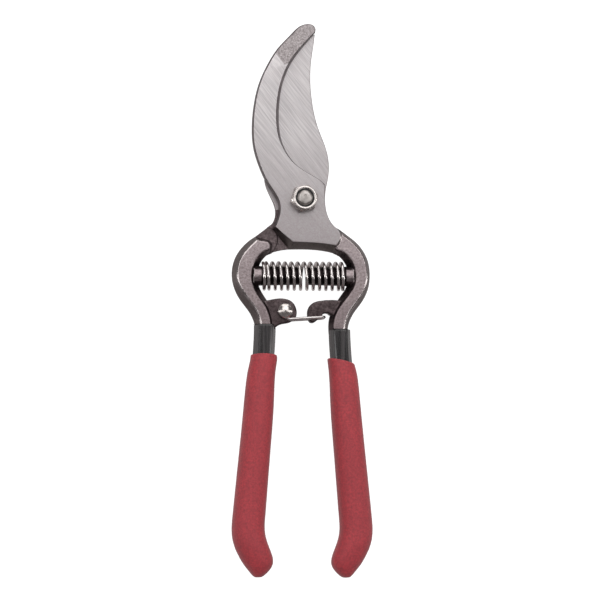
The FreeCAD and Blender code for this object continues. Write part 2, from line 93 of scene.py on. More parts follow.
# %% [markdown]
# ## Camera
# The camera hangs high above the table and looks down, as for a catalogue. It leans a little towards the
# handles and to the left, so a sliver of some side walls shows. A long lens from far away keeps the
# perspective weak. The camera is built from three axes: right, up, and the direction back to the camera.

# %% Camera
CAMERA_DISTANCE = 2.5
PICTURE_WIDTH = 238 * MM
LEAN_TO_HANDLES = math.radians(4.5)
LEAN_TO_LEFT = math.radians(5.5)
plate_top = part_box("pivot_nut")[0].z
picture_centre = Vector((-1.5 * MM, -40.3 * MM, plate_top))
back = Vector((-math.tan(LEAN_TO_LEFT), -math.tan(LEAN_TO_HANDLES), 1)).normalized()
right = Vector((0, 1, 0)).cross(back).normalized()
bpy.ops.object.camera_add()
camera = bpy.context.object
camera.name = "product_camera"
camera.data.lens = camera.data.sensor_width * CAMERA_DISTANCE / PICTURE_WIDTH
camera.data.dof.use_dof = False
turn = Matrix((right, back.cross(right), back)).transposed().to_4x4()
camera.matrix_world = Matrix.Translation(picture_centre + back * CAMERA_DISTANCE) @ turn
bpy.context.scene.camera = camera
print("lens in mm:", round(camera.data.lens, 1))

# %% [markdown]
# ## Light
# Polished steel shows what stands round it more than it shows its own colour. One large soft panel hangs
# beyond the cutting tips and its near edge ends above the tool, so flat steel turns from light at the tips
# to darker at the handles, and every dome and wire is bright on one side and dark on the other. Two narrow
# strips at the sides draw the thin bright lines along rounded rims, and an upright panel behind the tips
# lights the far sides of wires and domes. Otherwise steel sees a dim grey studio, while matt surfaces get
# an even fill.

# %% Light
PANEL_HEIGHT = 1.0
PANEL_NEAR_EDGE = 0.083
PANEL_SIZE = (1.5, 1.3)
STRIP_SIZE = (0.16, 2.0)
STRIP_PLACE = (0.85, -0.10, 0.50)
BACK_PLACE = (0, 1.42, 0.40)
BACK_SIZE = (1.6, 0.9)
PANEL_RADIANCE = 1.58
BACK_RADIANCE = 1.5
STRIP_RADIANCE = 2.6


def add_panel(name, place, size, radiance, aim=None):
    """A rectangular light of a given brightness that shines down, or towards aim."""
    bpy.ops.object.light_add(type="AREA", location=place)
    light = bpy.context.object
    light.name = name
    light.data.shape = "RECTANGLE"
    light.data.size, light.data.size_y = size
    light.data.energy = radiance * math.pi * size[0] * size[1]
    light.visible_camera = False
    if aim is not None:
        light.rotation_euler = (Vector(aim) - Vector(place)).to_track_quat("-Z", "Y").to_euler()
    print(name, size, "m, radiance", radiance)


panel_place = (0, PANEL_NEAR_EDGE + PANEL_SIZE[1] / 2, PANEL_HEIGHT)
add_panel("soft_panel", panel_place, PANEL_SIZE, PANEL_RADIANCE)
add_panel("back_panel", BACK_PLACE, BACK_SIZE, BACK_RADIANCE, aim=(0, 0, BACK_PLACE[2]))
for side, label in ((-1, "left"), (1, "right")):
    place = (side * STRIP_PLACE[0], STRIP_PLACE[1], STRIP_PLACE[2])
    add_panel("strip_" + label, place, STRIP_SIZE, STRIP_RADIANCE, aim=(0, STRIP_PLACE[1], 0))

# %% [markdown]
# ## Materials
# Every finish starts from what the real surface is. Colours are written as sRGB hex, as a paint chart gives
# them, and turned to linear once. Patterns take their scale from a real size: the Mapping node divides
# object coordinates by the size of one grain, so a noise of scale 1 has grains of that size.

# %% Material helpers
def linear(hex_colour):
    """An sRGB hex colour as the linear RGBA that the shader takes."""
    channels = [int(hex_colour[i:i + 2], 16) / 255 for i in (1, 3, 5)]
    return [c / 12.92 if c <= 0.04045 else ((c + 0.055) / 1.055) ** 2.4 for c in channels] + [1.0]


def add_node(tree, kind, values=None, links=None, **settings):
    """Adds a node, sets its properties and socket values, and links sockets to its inputs."""
    node = tree.nodes.new(kind)
    for key, value in settings.items():
        setattr(node, key, value)
    for key, value in (values or {}).items():
        node.inputs[key].default_value = value
    for key, socket in (links or {}).items():
        tree.links.new(socket, node.inputs[key])
    return node


def start_material(name):
    """An empty material with its output node, ready for a shader."""
    material = bpy.data.materials.new(name)
    material.use_nodes = True
    tree = material.node_tree
    tree.nodes.clear()
    print("finish:", name)
    return material, tree


def end_material(tree, shader):
    add_node(tree, "ShaderNodeOutputMaterial", links={"Surface": shader.outputs["BSDF"]})


def grain(tree, size_mm, turn_deg=0.0, detail=3.0, roughness=0.55):
    """A noise whose grains have the given size in mm along X, Y and Z, turned about Z."""
    place = add_node(tree, "ShaderNodeTexCoord")
    scaled = add_node(tree, "ShaderNodeMapping", {
        "Rotation": (0, 0, math.radians(turn_deg)), "Scale": tuple(s * MM for s in size_mm),
    }, {"Vector": place.outputs["Object"]}, vector_type="TEXTURE")
    return add_node(tree, "ShaderNodeTexNoise", {
        "Scale": 1.0, "Detail": detail, "Roughness": roughness,
    }, {"Vector": scaled.outputs["Vector"]}).outputs["Fac"]


def remapped(tree, value, low, high, to_low, to_high):
    return add_node(tree, "ShaderNodeMapRange", {
        "From Min": low, "From Max": high, "To Min": to_low, "To Max": to_high,
    }, {"Value": value}).outputs["Result"]


def mixed(tree, factor, first, second, blend="MIX"):
    """Two colours mixed by factor. Each is a hex colour or a socket."""
    node = add_node(tree, "ShaderNodeMix", data_type="RGBA", blend_type=blend)
    for index, colour in ((6, first), (7, second)):
        if isinstance(colour, str):
            node.inputs[index].default_value = linear(colour)
        else:
            tree.links.new(colour, node.inputs[index])
    if isinstance(factor, float):
        node.inputs[0].default_value = factor
    else:
        tree.links.new(factor, node.inputs[0])
    return node.outputs[2]


# %% [markdown]
# ## Ground steel
# The flat faces of hook and blade are ground on a belt after forging, and the belt leaves fine parallel
# scratches. They run slantwise over both faces, because the blank is held at an angle to the belt. A noise
# stretched 30 to 1 gives them. The real ones are a few hundredths of a millimetre apart; they are drawn
# coarser so that they show. Towards the handles the colour turns to darker, spotted steel: painted shade
# where the panel's light falls off.

# %% Ground steel
BELT_ANGLE = -52.0
SCRATCH_LENGTH = 14.0
SCRATCH_SPACING = 0.5
ALONG_HOOK_TIP = (0.81, 0.586, 0)
TIP_LINE = 24.8               # how far in mm along that direction the burnt tip begins
RAGGED_EDGE = 1.6             # how much the border of the burnt tip wavers, in mm
BORDER_WIDTH = 0.5


def along_tool(tree, start_mm, end_mm):
    """0 at start and 1 at end, measured along Y."""
    place = add_node(tree, "ShaderNodeTexCoord")
    parts = add_node(tree, "ShaderNodeSeparateXYZ", links={"Vector": place.outputs["Object"]})
    return remapped(tree, parts.outputs["Y"], start_mm * MM, end_mm * MM, 0.0, 1.0)


def beyond_tip_line(tree, spots):
    """0 before the line across the tip and 1 beyond it, with a ragged border."""
    place = add_node(tree, "ShaderNodeTexCoord")
    reach = add_node(tree, "ShaderNodeVectorMath", {1: ALONG_HOOK_TIP}, {0: place.outputs["Object"]},
                     operation="DOT_PRODUCT")
    ragged = add_node(tree, "ShaderNodeMath", {1: RAGGED_EDGE * MM, 2: -RAGGED_EDGE / 2 * MM}, {0: spots},
                      operation="MULTIPLY_ADD")
    edge = add_node(tree, "ShaderNodeMath", links={0: reach.outputs["Value"], 1: ragged.outputs[0]},
                    operation="ADD")
    return remapped(tree, edge.outputs[0], TIP_LINE * MM, (TIP_LINE + BORDER_WIDTH) * MM, 0.0, 1.0)


def ground_steel(name, bright, dull, worn_and_shade, roughness, burnt=None):
    material, tree = start_material(name)
    fine = grain(tree, (SCRATCH_LENGTH, SCRATCH_SPACING, SCRATCH_SPACING), BELT_ANGLE, detail=3.0)
    broad = grain(tree, (10.0, 1.4, 10.0), BELT_ANGLE, detail=3.0)
    spots = grain(tree, (0.6, 0.6, 0.6), detail=4.0, roughness=0.75)
    streaks = mixed(tree, remapped(tree, fine, 0.35, 0.65, 0.0, 1.0), dull, bright)
    # The darker, spotted steel laid towards the handles is painted shade where the panel's light falls off.
    shade_towards_handles = mixed(tree, remapped(tree, spots, 0.35, 0.65, 0.0, 1.0), worn_and_shade, dull)
    toned = mixed(tree, along_tool(tree, 28.0, -18.0), streaks, shade_towards_handles)
    clouds = mixed(tree, remapped(tree, broad, 0.4, 0.7, 0.0, 0.2), toned, worn_and_shade)
    if burnt:
        speckled = mixed(tree, remapped(tree, spots, 0.4, 0.6, 0.0, 1.0), *burnt)
        clouds = mixed(tree, beyond_tip_line(tree, spots), clouds, speckled)
    bump = add_node(tree, "ShaderNodeBump", {"Strength": 0.35, "Distance": 0.02 * MM}, {"Height": fine})
    shader = add_node(tree, "ShaderNodeBsdfPrincipled", {"Metallic": 1.0}, {
        "Base Color": clouds, "Normal": bump.outputs["Normal"],
        "Roughness": remapped(tree, fine, 0.3, 0.7, roughness - 0.05, roughness + 0.06),
    })
    end_material(tree, shader)
    return material


# The third tone is worn steel in the broad clouds, and also the painted shade towards the handles.
GROUND_TONES = ("#cac6c6", "#aba7a8", "#9c9293")      # ridges, scratches and worn steel
belt_ground_steel = ground_steel("belt_ground_steel", *GROUND_TONES, 0.36)
burnt_tip_steel = ground_steel("burnt_tip_steel", *GROUND_TONES, 0.36, burnt=("#746d6d", "#a29c9c"))

# %% [markdown]
# ## Forged steel
# The bows, lugs and tangs keep the skin of the forging die, tumbled and lightly oiled. It is a dark satin
# steel with a fine mottle, darkened from the head towards the handles as painted shade where the panel's
# light falls off. Darker copies of it paint shade: on the steep outer walls, darker still on lugs, foot,
# recesses and inner walls, and almost black on the pegs inside the spring.

# %% Forged steel
def forged_steel(name, light, dark, roughness, mottle_mm):
    material, tree = start_material(name)
    mottle = grain(tree, (mottle_mm,) * 3, detail=4.0, roughness=0.7)
    cloud = grain(tree, (6.0, 6.0, 6.0), detail=2.0)
    spots = mixed(tree, remapped(tree, mottle, 0.35, 0.65, 0.0, 1.0), dark, light)
    clouded = mixed(tree, remapped(tree, cloud, 0.4, 0.7, 0.0, 0.4), spots, dark)
    # Darker from 20 to 50 mm behind the pivot: painted shade where the panel's light falls off towards the
    # handles.
    shade = mixed(tree, along_tool(tree, -20.0, -50.0), "#ffffff", "#dad6d6")
    tone = mixed(tree, 1.0, clouded, shade, blend="MULTIPLY")
    bump = add_node(tree, "ShaderNodeBump", {"Strength": 0.35, "Distance": 0.04 * MM}, {"Height": mottle})
    shader = add_node(tree, "ShaderNodeBsdfPrincipled", {"Metallic": 1.0}, {
        "Base Color": tone, "Normal": bump.outputs["Normal"],
        "Roughness": remapped(tree, mottle, 0.3, 0.7, roughness - 0.06, roughness + 0.08),
    })
    end_material(tree, shader)
    return material


tumbled_forged_steel = forged_steel("tumbled_forged_steel", "#bfb3b3", "#877b7d", 0.40, 0.8)
# The steep outer walls: a darker copy of the tumbled steel, painted shade of walls that face away from the
# light.
tumbled_wall_painted_shade = forged_steel("tumbled_wall_painted_shade", "#938b89", "#7a7271", 0.38, 0.9)
# Lugs, foot, recesses, inner walls and the walls of the hook's head: a darker copy still, painted shade.
forge_skin_painted_shade = forged_steel("forge_skin_painted_shade", "#786c6d", "#463d3e", 0.34, 1.0)
# The pegs inside the spring: almost black, painted shade of the coil over them.
peg_painted_shade = forged_steel("peg_painted_shade", "#2e2728", "#1c1718", 0.45, 1.0)

# %% [markdown]
# ## Plated wire and fasteners
# Nut, bolt, rivet, spring and latch wire are bright plated steel. They are nearly mirrors, so almost all of
# their look comes from what they reflect. Drawing a wire leaves fine lines, and barrel plating leaves a
# faint cloudiness that keeps the mirror from being perfect.

# %% Plated steel
def plated_steel(name, bright, cloudy, roughness, cloud_mm):
    material, tree = start_material(name)
    cloud = grain(tree, (cloud_mm,) * 3, detail=3.0)
    tone = mixed(tree, remapped(tree, cloud, 0.35, 0.65, 0.0, 1.0), cloudy, bright)
    bump = add_node(tree, "ShaderNodeBump", {"Strength": 0.08, "Distance": 0.01 * MM}, {"Height": cloud})
    shader = add_node(tree, "ShaderNodeBsdfPrincipled", {"Metallic": 1.0}, {
        "Base Color": tone, "Normal": bump.outputs["Normal"],
        "Roughness": remapped(tree, cloud, 0.3, 0.7, roughness, roughness + 0.08),
    })
    end_material(tree, shader)
    return material


nickel_plated_fastener = plated_steel("nickel_plated_fastener", "#e8e3df", "#cbc3bf", 0.20, 1.5)
dull_plated_bolt = plated_steel("dull_plated_bolt", "#c4bfbb", "#a09a96", 0.36, 1.5)
plated_spring_wire = plated_steel("plated_spring_wire", "#ebe6e3", "#d0c9c8", 0.15, 2.0)
polished_rim = plated_steel("polished_rim", "#d2cac9", "#aaa1a0", 0.2, 3.0)
latch_wire_steel = plated_steel("latch_wire_steel", "#dcd7d5", "#c3bcbb", 0.20, 2.0)

# %% [markdown]
# ## Nylon, and the two dips of the handles
# The nut's locking ring is nylon with a dull moulded skin, coloured almost black as painted shade, because
# it lies below the rolled lip of the collar. Each tang is dipped twice: first in thin black vinyl that runs
# down in faint streaks and dries glossy, then in thick foaming red vinyl that dries matt with a fine pebbled
# skin.

# %% Nylon and vinyl
def moulded_plastic(name, colour, shade, roughness, pebble_mm, pebble_depth_mm, coat=0.0, sheen=0.0):
    material, tree = start_material(name)
    pebbles = grain(tree, pebble_mm, detail=3.0, roughness=0.6)
    cloud = grain(tree, (7.0, 11.0, 7.0), detail=2.0)
    spots = mixed(tree, remapped(tree, pebbles, 0.35, 0.65, 0.0, 1.0), shade, colour)
    tone = mixed(tree, remapped(tree, cloud, 0.4, 0.7, 0.0, 0.35), spots, shade)
    bump = add_node(tree, "ShaderNodeBump", {"Strength": 0.6, "Distance": pebble_depth_mm * MM},
                    {"Height": pebbles})
    shader = add_node(tree, "ShaderNodeBsdfPrincipled", {
        "Roughness": roughness, "Coat Weight": coat, "Coat Roughness": 0.12,
        "Sheen Weight": sheen, "Sheen Roughness": 0.5,
    }, {"Base Color": tone, "Normal": bump.outputs["Normal"]})
    end_material(tree, shader)
    return material


# Almost black: painted shade of the ring's place below the rolled lip.
nylon_painted_shade = moulded_plastic("moulded_nylon_painted_shade", "#151314", "#0e0c0d", 0.5, (0.8, 0.8, 0.8), 0.02)
black_dip = moulded_plastic("glossy_black_dip_vinyl", "#3c3839", "#0b090a", 0.24, (1.4, 40.0, 1.4), 0.25,
                            coat=0.5)
red_dip = moulded_plastic("matt_red_foamed_vinyl", "#ab2f37", "#87252e", 0.62, (0.8, 0.8, 0.8), 0.06,
                          sheen=0.12)

# %% [markdown]
# ## Working by hand, in code
# Blender's operators act on what is selected and active, so each piece starts from a clean selection. A
# helper makes one object active, another runs a few edit-mode steps, and a third hands the finished piece
# over to the frame.

# %% Selection and hand-over helpers
def make_active(piece):
    for other in bpy.context.selected_objects:
        other.select_set(False)
    piece.select_set(True)
    bpy.context.view_layer.objects.active = piece


def edit_all(piece, *steps):
    """Runs edit-mode operators on the whole mesh. A step is (operator, its settings)."""
    make_active(piece)
    bpy.ops.object.mode_set(mode="EDIT")
    for operator, settings in steps:
        bpy.ops.mesh.select_all(action="SELECT")
        operator(**settings)
    bpy.ops.object.mode_set(mode="OBJECT")


def apply_modifier(piece, kind, **settings):
    make_active(piece)
    modifier = piece.modifiers.new(kind.lower(), kind)
    for key, value in settings.items():
        setattr(modifier, key, value)
    bpy.ops.object.modifier_apply(modifier=modifier.name)


def hand_over(piece, node, materials):
    """Gives the piece its materials, and puts it in the place of its CAD node on that node's body."""
    for material in materials:
        piece.data.materials.append(material)
    body = nodes[node]["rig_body"]
    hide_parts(node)
    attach(piece, body)
    print(piece.name, "on", body, "with", len(piece.data.polygons), "faces")


# %% [markdown]
# ## Refining a CAD part
# A CAD mesh is loose triangles with knife-sharp edges, and no real edge is that sharp. A copy is merged,
# its flat faces are joined, and every sharp edge gets a small round that catches a line of light. Weighted
# normals keep the big faces flat next to those rounds. Where two edges meet at a very flat angle the bevel
# can throw a corner far out, so any corner that leaves the CAD surface is put back on it.

# %% Refined copies
MERGE_MM = 0.002              # corners of CAD triangles that are closer than this are one corner


def put_strays_back(piece, node, allowed):
    """Moves every vertex that lies further than allowed from the CAD surface back on it."""
    strays = 0
    for vertex in piece.data.vertices:
        hit, place, _, _ = nodes[node].closest_point_on_mesh(vertex.co)
        if hit and (place - vertex.co).length > allowed:
            vertex.co = place
            strays += 1
    return strays


def refined_copy(node, name, edge_radius_mm, segments=2, cut_y=None):
    piece = bpy.data.objects.new(name, nodes[node].data.copy())
    piece.data.materials.clear()
    bpy.context.scene.collection.objects.link(piece)
    edit_all(piece, (bpy.ops.mesh.remove_doubles, {"threshold": MERGE_MM * MM}),
             (bpy.ops.mesh.dissolve_limited, {"angle_limit": math.radians(0.5)}))
    if cut_y is not None:
        edit_all(piece, (bpy.ops.mesh.bisect, {"plane_co": (0, cut_y, 0), "plane_no": (0, 1, 0)}))
    apply_modifier(piece, "BEVEL", width=edge_radius_mm * MM, segments=segments, limit_method="ANGLE",
                   angle_limit=math.radians(28), use_clamp_overlap=False)
    print(name, "strays put back:", put_strays_back(piece, node, 0.6 * edge_radius_mm * MM))
    make_active(piece)
    bpy.ops.object.shade_smooth_by_angle(angle=math.radians(40))
    apply_modifier(piece, "WEIGHTED_NORMAL", keep_sharp=True)
    return piece


# %% [markdown]
# ## The two forgings
# Hook and blade are one forging each with their bow, lug, peg and tang. Faces are told apart by where they
# are and which way they look: flat head faces are ground and the faces of the bows are tumbled. Outer walls
# get a darker copy of the tumbled steel, and lugs, foot, recesses, inner walls and the walls of the hook's
# head a darker one still, as painted shade; the pegs inside the spring are painted almost black, as shade.
# The blade's flat is cut across where the hook's plate covers it, so the ground part can end there.

# %% Hook and blade forgings
# Walls, lugs, recesses and pegs get the darker copies of the forged steel, which paint shade.
GROUND, TUMBLED, WALL, SHADED_SKIN, TIP, RIM, PEG = range(7)
LEVEL = 0.80                 # with a smaller Z in its normal than this, a face is a side wall
FLAT = 0.985                 # with a larger one than this, it may be ground
ON_ROUND = 0.62              # and from here to FLAT it lies on the round of an edge
MIDDLE = 8 * MM              # the parting plane between hook and blade
BOW_FACE = 3.6 * MM          # lugs and foot stay closer to the parting plane than the bows' faces
TIP_START = 45 * MM          # places along Y, from the tip to the latch
RECESS_LINE = -4.0 * MM
SHOULDER_LINE = -13.0 * MM
HEAD_LINE = -22.5 * MM
PEG_LINE = -30.4 * MM
LUG_TOP = -39.0 * MM
LUG_FOOT = -52.5 * MM
FOOT_REACH = 12.5 * MM       # half widths, from the middle of the tool
LUG_REACH = 15.0 * MM
PEG_REACH = 17.2 * MM
PEG_HALF_WIDTH = 4.3 * MM
PEG_DEPTH = 4.05 * MM


def handle_finish(centre, normal):
    depth = abs(centre.z - MIDDLE)
    beside_lug = LUG_FOOT < centre.y < LUG_TOP and abs(centre.x) < LUG_REACH
    beside_peg = abs(centre.y - PEG_LINE) < PEG_HALF_WIDTH and abs(centre.x) < PEG_REACH
    if beside_peg and depth < PEG_DEPTH:
        return PEG
    if beside_lug and depth < BOW_FACE and abs(normal.z) > 0.3:
        return SHADED_SKIN
    outwards = normal.x * math.copysign(1.0, centre.x) > 0.08
    if abs(normal.z) > FLAT:
        return TUMBLED
    if abs(normal.z) > ON_ROUND and outwards:
        return RIM
    if abs(normal.z) > LEVEL:
        return TUMBLED
    return WALL if outwards else SHADED_SKIN


def hook_finish(centre, normal):
    on_head = centre.y > HEAD_LINE and centre.z > MIDDLE
    below_face = plate_top - centre.z
    if on_head and below_face < 0.02 * MM:
        return GROUND
    if on_head and centre.y > TIP_START and normal.z > FLAT:
        return TIP
    if on_head and normal.z > LEVEL and normal.x < 0.2 and below_face < 0.25 * MM:
        return GROUND
    if centre.y > SHOULDER_LINE:
        return SHADED_SKIN
    if abs(centre.x) < FOOT_REACH and centre.y > HEAD_LINE:
        return WALL if normal.z > 0.1 else SHADED_SKIN
    return handle_finish(centre, normal)


def blade_finish(centre, normal):
    if abs(normal.z) > FLAT and centre.y > RECESS_LINE:
        return GROUND
    if centre.y > 0:
        return GROUND if centre.z < MIDDLE - 0.5 * MM else WALL
    if normal.z < -FLAT and centre.y > HEAD_LINE:
        return GROUND
    if normal.z > 0 and centre.y > HEAD_LINE and centre.z < MIDDLE + 0.5 * MM:
        return SHADED_SKIN
    return handle_finish(centre, normal)


forging_materials = [belt_ground_steel, tumbled_forged_steel, tumbled_wall_painted_shade, forge_skin_painted_shade,
                     burnt_tip_steel, polished_rim, peg_painted_shade]
forgings = (("hook_forging", hook_finish, None), ("blade_forging", blade_finish, RECESS_LINE))
for node, finish, cut_y in forgings:
    forging = refined_copy(node, node + "_finished", 0.28, segments=3, cut_y=cut_y)
    for face in forging.data.polygons:
        face.material_index = finish(face.center, face.normal)
    hand_over(forging, node, forging_materials)

# %% [markdown]
# ## Bolt, nut and insert
# The pivot nut is a lock nut: a hexagon with trimmed corners, and above it a round collar whose rim is
# rolled over the nylon ring. Hexagon and trimming cone are two simple solids, and their common part is the
# hexagon body. The collar is a profile turned round the axis, as on a lathe.

# %% Turned profiles
def turned(name, profile_mm, centre, steps=64):
    """A profile of (radius, height) points in mm, spun round a vertical axis through centre."""
    mesh = bpy.data.meshes.new(name)
    points = [(centre[0] + r * MM, centre[1], z * MM) for r, z in profile_mm]
    mesh.from_pydata(points, [(i, i + 1) for i in range(len(points) - 1)], [])
    piece = bpy.data.objects.new(name, mesh)
    bpy.context.scene.collection.objects.link(piece)
    axis_point = (centre[0], centre[1], 0)
    edit_all(piece, (bpy.ops.mesh.spin, {
        "steps": steps, "angle": 2 * math.pi, "center": axis_point, "axis": (0, 0, 1)}),
        (bpy.ops.mesh.remove_doubles, {"threshold": 0.001 * MM}),
        (bpy.ops.mesh.normals_make_consistent, {"inside": False}))
    make_active(piece)
    bpy.ops.object.shade_smooth_by_angle(angle=math.radians(40))
    return piece


def arc_profile(centre_r, centre_z, radius, start_deg, end_deg, steps=8):
    """The points of an arc in a profile, from one angle to another."""
    points = []
    for i in range(steps + 1):
        angle = math.radians(start_deg + (end_deg - start_deg) * i / steps)
        points.append((centre_r + radius * math.cos(angle), centre_z + radius * math.sin(angle)))
    return points


# %% Hexagon bodies
HEX_FLATS = 10.0
PAST_CORNERS = 6.2            # a radius beyond the hexagon's corners, where the trim takes nothing


def hexagon_body(name, low, high, trim_profile, tightened_deg=0.0):
    """A hexagon 10 mm across flats between two heights, its corners trimmed by a turned profile.

    tightened_deg is how far the wrench left it turned from square.
    """
    bpy.ops.mesh.primitive_cylinder_add(
        vertices=6, radius=HEX_FLATS / math.sqrt(3) * MM, depth=(high - low) * MM,
        location=(0, 0, (low + high) / 2 * MM))
    hexagon = bpy.context.object
    hexagon.name = name
    edit_all(hexagon, (bpy.ops.transform.rotate, {
        "value": math.radians(30 - tightened_deg), "orient_axis": "Z",
        "center_override": (0, 0, 0)}))
    make_active(hexagon)
    bpy.ops.object.transform_apply(location=True, rotation=True, scale=True)
    trim = turned(name + "_trim", trim_profile, (0, 0))
    apply_modifier(hexagon, "BOOLEAN", operation="INTERSECT", object=trim, solver="EXACT")
    bpy.data.objects.remove(trim)
    apply_modifier(hexagon, "BEVEL", width=0.12 * MM, segments=2, limit_method="ANGLE",
                   angle_limit=math.radians(25), use_clamp_overlap=False)
    return hexagon


def joined(main, other):
    """Joins the second piece into the first, as one mesh."""
    make_active(main)
    other.select_set(True)
    bpy.ops.object.join()
    bpy.ops.object.shade_smooth_by_angle(angle=math.radians(30))
    return main


# %% Nut
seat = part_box("pivot_nut")[0].z / MM
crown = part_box("pivot_nut")[1].z / MM
HEX_HEIGHT = 3.8
COLLAR_RADIUS = 4.75
LIP_RADIUS = 3.65             # the inside of the lip that is rolled over the nylon ring
LIP_DEPTH = 1.5
BORE_RADIUS = 3.05
OUTER_ROUND = 0.35
INNER_ROUND = 0.3
trim_top = seat + HEX_HEIGHT + 0.01
hexagon = hexagon_body("pivot_nut_finished", seat, seat + HEX_HEIGHT, [
    (0, seat - 1), (PAST_CORNERS, seat - 1), (PAST_CORNERS, seat + 0.2), (5.5, seat + 2.9),
    (4.85, trim_top), (0, trim_top)], tightened_deg=13.0)
collar = turned("nut_collar", [(BORE_RADIUS, seat), (COLLAR_RADIUS, seat)]
                + arc_profile(COLLAR_RADIUS - OUTER_ROUND, crown - OUTER_ROUND, OUTER_ROUND, 0, 80)
                + arc_profile(LIP_RADIUS + INNER_ROUND, crown - INNER_ROUND, INNER_ROUND, 105, 180)
                + [(LIP_RADIUS, crown - LIP_DEPTH), (BORE_RADIUS, crown - LIP_DEPTH),
                   (BORE_RADIUS, seat)], (0, 0))
hand_over(joined(hexagon, collar), "pivot_nut", [nickel_plated_fastener])

# %% [markdown]
# The insert is a plain ring with eased edges. The bolt has a hexagon head at the back and a chamfered,
# slightly crowned end that stands just proud of the nut. Rolling and cutting leave a small pip off its
# centre.

# %% Insert and bolt
insert = refined_copy("nut_insert", "nut_insert_finished", 0.12)
hand_over(insert, "nut_insert", [nylon_painted_shade])
bolt_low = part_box("pivot_bolt")[0].z / MM
bolt_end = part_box("pivot_bolt")[1].z / MM
HEAD_TOP = bolt_low + 3.2
BOLT_RADIUS = 2.98
PIP_PLACE = (0.1 * MM, 0.75 * MM)
bolt = hexagon_body("pivot_bolt_finished", bolt_low, HEAD_TOP, [
    (0, bolt_low), (4.6, bolt_low), (PAST_CORNERS, bolt_low + 0.9), (PAST_CORNERS, HEAD_TOP + 1),
    (0, HEAD_TOP + 1)])
crown_and_chamfer = [(0, 0), (0.8, 0.01), (1.6, 0.04), (2.2, 0.09), (2.45, 0.16), (2.65, 0.30),
                     (BOLT_RADIUS, 0.70)]
crowned = [(radius, bolt_end - drop) for radius, drop in crown_and_chamfer]
shank = turned("bolt_shank", crowned + [(BOLT_RADIUS, HEAD_TOP - 0.5), (0, HEAD_TOP - 0.5)], (0, 0))
pip = turned("bolt_pip", [(0, bolt_end - 0.25), (0.3, bolt_end - 0.25), (0.5, bolt_end - 0.04),
                          (0.75, bolt_end + 0.3), (0, bolt_end + 0.3)], PIP_PLACE, steps=16)
apply_modifier(shank, "BOOLEAN", operation="DIFFERENCE", object=pip, solver="EXACT")
bpy.data.objects.remove(pip)
hand_over(joined(bolt, shank), "pivot_bolt", [dull_plated_bolt])

# %% [markdown]
# ## Return spring
# A compression spring has closed ends: the first and last turns lie against each other so that they seat
# flat, and the turns between are open. The wire is one long curve round the axis, with the pitch changing
# near both ends.

# %% Return spring
spring_low, spring_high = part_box("return_spring")
WIRE_RADIUS = 0.65 * MM
TURNS = 13.7
CLOSED_TURNS = 1.0
CLOSED_PITCH = 1.38 * MM
STEPS_PER_TURN = 48
FIRST_CROSSING = 0.2          # share of a turn from the wire's end to its first pass over the top
coil_radius = (spring_high.z - spring_low.z) / 2 - WIRE_RADIUS
coil_centre = (spring_low + spring_high) / 2
coil_length = spring_high.x - spring_low.x - 2 * WIRE_RADIUS
open_pitch = (coil_length - 2 * CLOSED_TURNS * CLOSED_PITCH) / (TURNS - 2 * CLOSED_TURNS)


def coil_travel(turn):
    """How far along the axis the wire has come after this many turns."""
    closed_before = min(turn, CLOSED_TURNS)
    closed_after = max(0.0, turn - (TURNS - CLOSED_TURNS))
    return (closed_before + closed_after) * CLOSED_PITCH + (turn - closed_before - closed_after) * open_pitch


def wire_along(name, points, radius):
    """A round wire of one radius that follows the points, as a mesh with closed ends."""
    curve = bpy.data.curves.new(name, "CURVE")
    curve.dimensions = "3D"
    curve.bevel_depth = radius
    curve.bevel_resolution = 6
    curve.use_fill_caps = True
    spline = curve.splines.new("POLY")
    spline.points.add(len(points) - 1)
    for point, place in zip(spline.points, points):
        point.co = (*place, 1)
    piece = bpy.data.objects.new(name, curve)
    bpy.context.scene.collection.objects.link(piece)
    make_active(piece)
    bpy.ops.object.convert(target="MESH")
    piece = bpy.context.object
    bpy.ops.object.shade_smooth_by_angle(angle=math.radians(50))
    return piece


coil_points = []
for step in range(int(TURNS * STEPS_PER_TURN) + 1):
    turn = step / STEPS_PER_TURN
    angle = 2 * math.pi * (FIRST_CROSSING - turn)
    x = spring_low.x + WIRE_RADIUS + coil_travel(turn)
    coil_points.append(Vector((x, coil_centre.y + coil_radius * math.sin(angle),
                               coil_centre.z + coil_radius * math.cos(angle))))
spring = wire_along("return_spring_coil", coil_points, WIRE_RADIUS)
spring.data.materials.append(plated_spring_wire)
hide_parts("return_spring")
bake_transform(spring)
sections = KDTree(len(coil_points))
for index, point in enumerate(coil_points):
    sections.insert(point, index)
sections.balance()
for vertex in spring.data.vertices:
    nearest = sections.find(vertex.co)[1]
print("spring pitch in mm:", round(open_pitch / MM, 2), "faces", len(spring.data.polygons))

# %% [markdown]
# ## Latch wire and rivet
# The bail is one piece of wire. It starts with an eye round the rivet under the dome, runs out over the lug,
# turns down round the nose, and comes back below to a second eye. Straight runs and arcs are enough.

# %% Latch wire
rivet_low, rivet_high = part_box("latch_rivet")
bail_low, bail_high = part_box("latch_wire")
BAIL_RADIUS = 0.6 * MM
EYE_RADIUS = 2.2 * MM
EYE_TURN = math.radians(300)
EYE_STEPS = 32
LEAVING = math.radians(-117)  # where round the rivet the arm leaves the eye
BEND_RADIUS = 3.0 * MM
NOSE_RADIUS = 1.2 * MM
rivet = (rivet_low + rivet_high) / 2
arm_top = bail_high.z - BAIL_RADIUS
arm_low = bail_low.z + BAIL_RADIUS
bail_end = Vector((8.4, -46.9, 0)) * MM
bail_bend = Vector((-5.6, -47.8, 0)) * MM


def at_height(point, z):
    return Vector((point.x, point.y, z))


